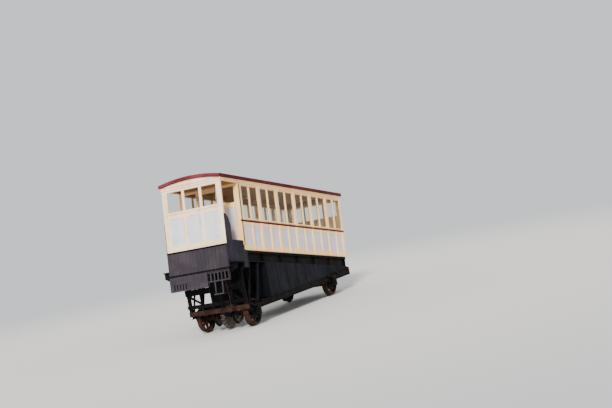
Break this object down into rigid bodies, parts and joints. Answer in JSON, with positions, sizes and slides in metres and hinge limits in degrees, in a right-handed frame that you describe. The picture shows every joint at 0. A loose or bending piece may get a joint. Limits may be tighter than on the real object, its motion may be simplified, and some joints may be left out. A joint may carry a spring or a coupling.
{
  "type": "funicular car",
  "caption": "Water-ballast hillside rail car: a windowed passenger cabin with a roofed end platform on a wedge-shaped underframe with spoked wheels.",
  "frame": {"origin": "under the middle of the car's length, at the lowest point of the wheel flanges", "axes": "+X along the rails, uphill; +Y to the left when facing uphill; +Z square to the rails"},
  "size_m": [7.5192, 2.26, 4.2645],
  "materials": {
    "cream_paint": "satin",
    "panel_paint": "satin",
    "maroon_paint": "satin",
    "roof_felt": "matte",
    "brown_wood": "satin",
    "glass": "clear",
    "navy_paint": "satin",
    "black_paint": "satin",
    "tank_paint": "satin",
    "rusty_iron": "rusty",
    "bare_steel": "worn",
    "brass": "polished"
  },
  "bodies": {
    "root": {"roof_shell": "roof_felt", "roof_edge": "maroon_paint", "cornice": "cream_paint", "roof_ribs": "brown_wood", "ceiling_slats": "brown_wood", "side_wall_right": "cream_paint", "side_wall_left": "cream_paint", "window_glass": "glass", "belt_mouldings": "maroon_paint", "bulkhead_lower": "cream_paint", "bulkhead_upper": "cream_paint", "door_hinge_pins": "brass", "corner_posts": "cream_paint", "dash_panel": "cream_paint", "end_screen": "cream_paint", "end_skirt": "navy_paint", "side_skirts": "navy_paint", "front_beam": "navy_paint", "side_steps": "black_paint", "bearer_right": "black_paint", "bearer_left": "black_paint", "floor_beams": "brown_wood", "cross_girders": "black_paint", "cabin_floor": "brown_wood", "bench_slats": "brown_wood", "bench_frames": "black_paint", "brake_column": "black_paint", "brake_wheel": "brass", "grab_rails": "cream_paint", "body_panels": "panel_paint", "rail_bar_right": "black_paint", "rail_bar_left": "black_paint", "headstock_lower": "rusty_iron", "headstock_upper": "rusty_iron", "cross_members": "black_paint", "axle_guards": "black_paint", "axle_boxes": "black_paint", "leaf_springs": "black_paint", "trestle_posts": "black_paint", "trestle_beam": "black_paint", "trestle_braces": "black_paint", "side_struts": "black_paint", "water_tank": "tank_paint", "side_cheeks": "black_paint", "tank_outlet": "black_paint", "rope_anchor": "rusty_iron", "brake_bands": "black_paint"},
    "door": {"cabin_door": "cream_paint", "door_glass": "glass", "door_panel": "panel_paint"},
    "axle_lower": {"axle_shaft_lower": "rusty_iron", "wheels_lower": "rusty_iron", "rack_pinion": "bare_steel", "brake_drums": "bare_steel"},
    "axle_upper": {"axle_shaft_upper": "rusty_iron", "wheels_upper": "rusty_iron"}
  },
  "joints": [
    {"name": "door_hinge", "type": "hinge", "parent": "root", "child": "door", "pos_m": [-2.51941, 0.32, 2.99986], "axis": [-0.1736, 0, -0.9848], "range_deg": [0, 90]},
    {"name": "lower_axle_spin", "type": "hinge", "parent": "root", "child": "axle_lower", "pos_m": [-2.57581, 0, 0.388], "axis": [0, 1, 0], "continuous": true},
    {"name": "upper_axle_spin", "type": "hinge", "parent": "root", "child": "axle_upper", "pos_m": [2.17419, 0, 0.388], "axis": [0, 1, 0], "continuous": true}
  ]
}
